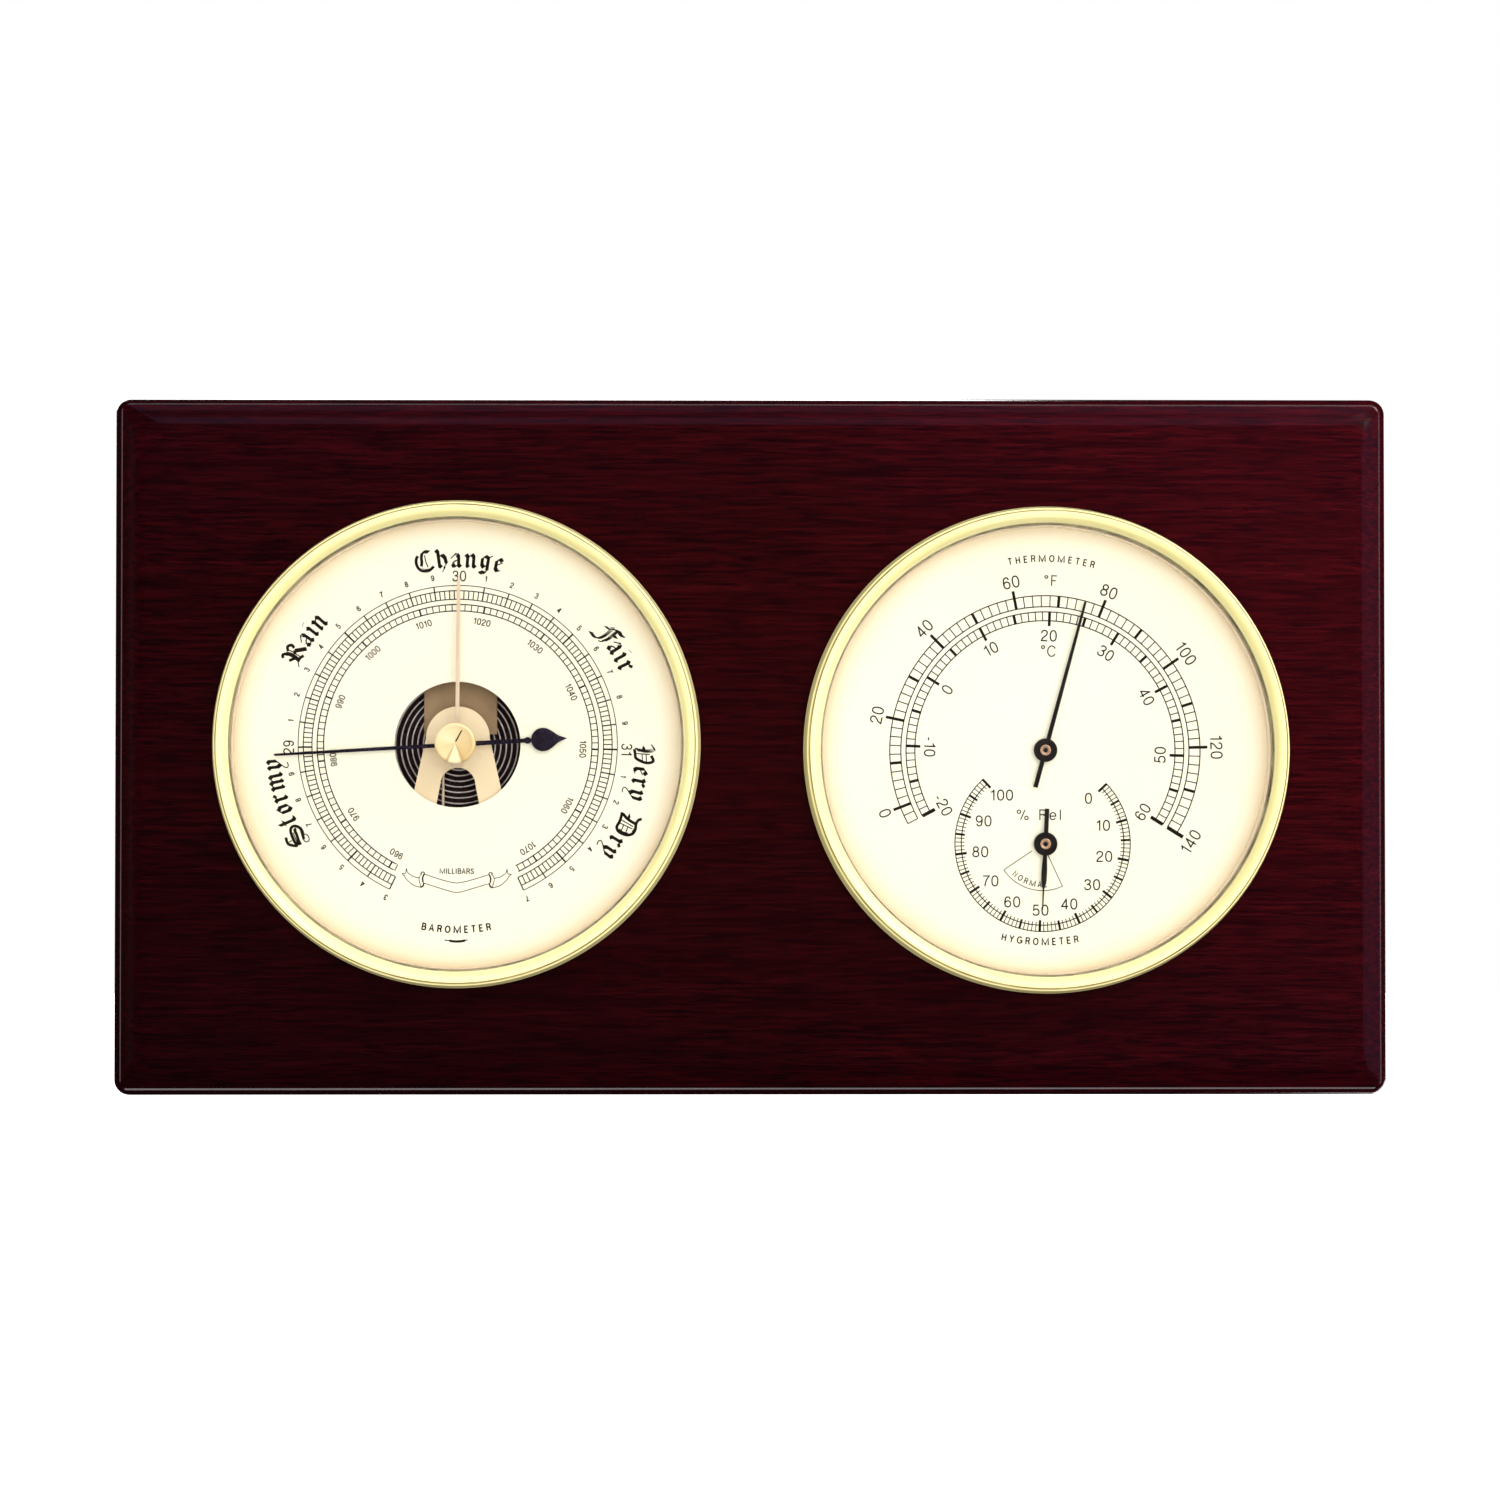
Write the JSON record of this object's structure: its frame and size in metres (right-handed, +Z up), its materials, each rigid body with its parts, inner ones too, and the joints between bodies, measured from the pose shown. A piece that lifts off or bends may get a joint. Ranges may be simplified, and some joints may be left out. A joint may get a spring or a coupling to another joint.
{
  "type": "weather station",
  "caption": "Wide rectangular wooden wall board with round brass-rimmed instruments: a barometer with a set hand, and a thermometer above a hygrometer on one dial.",
  "frame": {"origin": "middle of the board's flat back, in the plane of the wall it hangs on", "axes": "+Z up, +X to the right as seen from the front, the dials face -Y, and +Y points into the wall"},
  "size_m": [0.281, 0.0327, 0.154],
  "materials": {
    "wood": "dark red-brown lacquer, glossy",
    "bezel_brass": "polished and lacquered",
    "case_brass": "spun, satin",
    "works_brass": "stamped, satin",
    "pale_gold": "gilt, satin",
    "steel": "bright zinc",
    "spring_steel": "tempered, dull",
    "black_metal": "black, satin",
    "blued_steel": "blue-black, satin",
    "dial_card": "ivory lacquer, matte",
    "glass": "clear, polished",
    "rubber": "matte"
  },
  "bodies": {
    "station": {"board": "wood", "hanger_plate_left": "case_brass", "hanger_plate_right": "case_brass", "hanger_screws": "case_brass", "baro_case": "case_brass", "baro_fit_ring": "rubber", "baro_bezel": "bezel_brass", "baro_gasket": "rubber", "baro_glass": "glass", "glass_bush": "bezel_brass", "bush_washer": "bezel_brass", "baro_dial": "dial_card", "baro_dial_pillars": "steel", "baro_case_screws": "steel", "base_plate": "steel", "plate_spacers": "works_brass", "aneroid_capsule": "black_metal", "capsule_nut": "steel", "main_spring": "spring_steel", "spring_block": "works_brass", "spring_screws": "steel", "movement_bridge": "pale_gold", "bridge_screws": "steel", "arbor_bush": "works_brass", "lower_plate": "works_brass", "plate_pillars": "works_brass", "hairspring": "spring_steel", "lever_bracket": "works_brass", "rocker_bracket": "works_brass", "thermo_case": "case_brass", "thermo_fit_ring": "rubber", "thermo_bezel": "bezel_brass", "thermo_gasket": "rubber", "thermo_glass": "glass", "thermo_dial": "dial_card", "thermo_dial_pillars": "steel", "thermo_case_screws": "steel", "thermo_bracket": "works_brass", "thermo_coil": "spring_steel", "hygro_bracket": "works_brass", "hygro_coil": "spring_steel"},
    "set_pointer": {"set_knob": "bezel_brass", "set_hand": "pale_gold"},
    "pressure_pointer": {"pressure_hand": "blued_steel", "hand_arbor": "steel"},
    "sector": {"gear_sector": "works_brass"},
    "rocker": {"rocker_shaft": "steel"},
    "lever": {"long_lever": "pale_gold"},
    "stud": {"capsule_stud": "works_brass"},
    "adjuster": {"adjusting_screw": "works_brass"},
    "thermo_pointer": {"thermo_arbor": "pale_gold", "thermo_hand": "black_metal"},
    "hygro_pointer": {"hygro_arbor": "pale_gold", "hygro_hand": "black_metal"}
  },
  "joints": [
    {"name": "set_hand_turn", "type": "hinge", "parent": "station", "child": "set_pointer", "pos_m": [-0.0649, -0.024, 0.0003], "axis": [0, 1, 0], "continuous": true},
    {"name": "sector_swing", "type": "hinge", "parent": "station", "child": "sector", "pos_m": [-0.0547, -0.01705, -0.01828], "axis": [0, 1, 0], "range_deg": [-12.19, 2.95], "stiffness_Nm_per_rad": 0.1},
    {"name": "pressure_hand_turn", "type": "hinge", "parent": "station", "child": "pressure_pointer", "pos_m": [-0.0649, -0.02125, 0.0003], "axis": [0, 1, 0], "range_deg": [-59.7, 246.4], "deforming": ["hairspring"]},
    {"name": "rocker_turn", "type": "hinge", "parent": "station", "child": "rocker", "pos_m": [-0.0649, -0.012, -0.0227], "axis": [1, 0, 0], "range_deg": [-9.6, 2.4]},
    {"name": "long_lever_turn", "type": "hinge", "parent": "station", "child": "lever", "pos_m": [-0.0683, -0.01545, 0.0045], "axis": [1, 0, 0], "range_deg": [-0.45, 1.75]},
    {"name": "capsule_stroke", "type": "slide", "parent": "station", "child": "stud", "axis": [0, 1, 0], "range_m": [-0.0000315, 0.000128]},
    {"name": "adjusting_screw_turn", "type": "hinge", "parent": "station", "child": "adjuster", "pos_m": [-0.0649, -0.0045, 0.0313], "axis": [0, 1, 0], "range_deg": [-360, 360]},
    {"name": "thermo_hand_turn", "type": "hinge", "parent": "station", "child": "thermo_pointer", "pos_m": [0.0649, -0.02125, -0.0009], "axis": [0, 1, 0], "range_deg": [-133.2, 106.8], "stiffness_Nm_per_rad": 0.002, "deforming": ["thermo_coil"]},
    {"name": "hygro_hand_turn", "type": "hinge", "parent": "station", "child": "hygro_pointer", "pos_m": [0.0649, -0.02125, -0.0216], "axis": [0, 1, 0], "range_deg": [-135.7, 134.3], "stiffness_Nm_per_rad": 0.002, "deforming": ["hygro_coil"]}
  ],
  "couplings": [
    {"joint": "pressure_hand_turn", "follows": "sector_swing", "ratio": -20.2},
    {"joint": "rocker_turn", "follows": "sector_swing", "ratio": 0.78},
    {"joint": "long_lever_turn", "follows": "sector_swing", "ratio": -0.142},
    {"joint": "capsule_stroke", "follows": "sector_swing", "m_per_rad": -0.0005964}
  ]
}
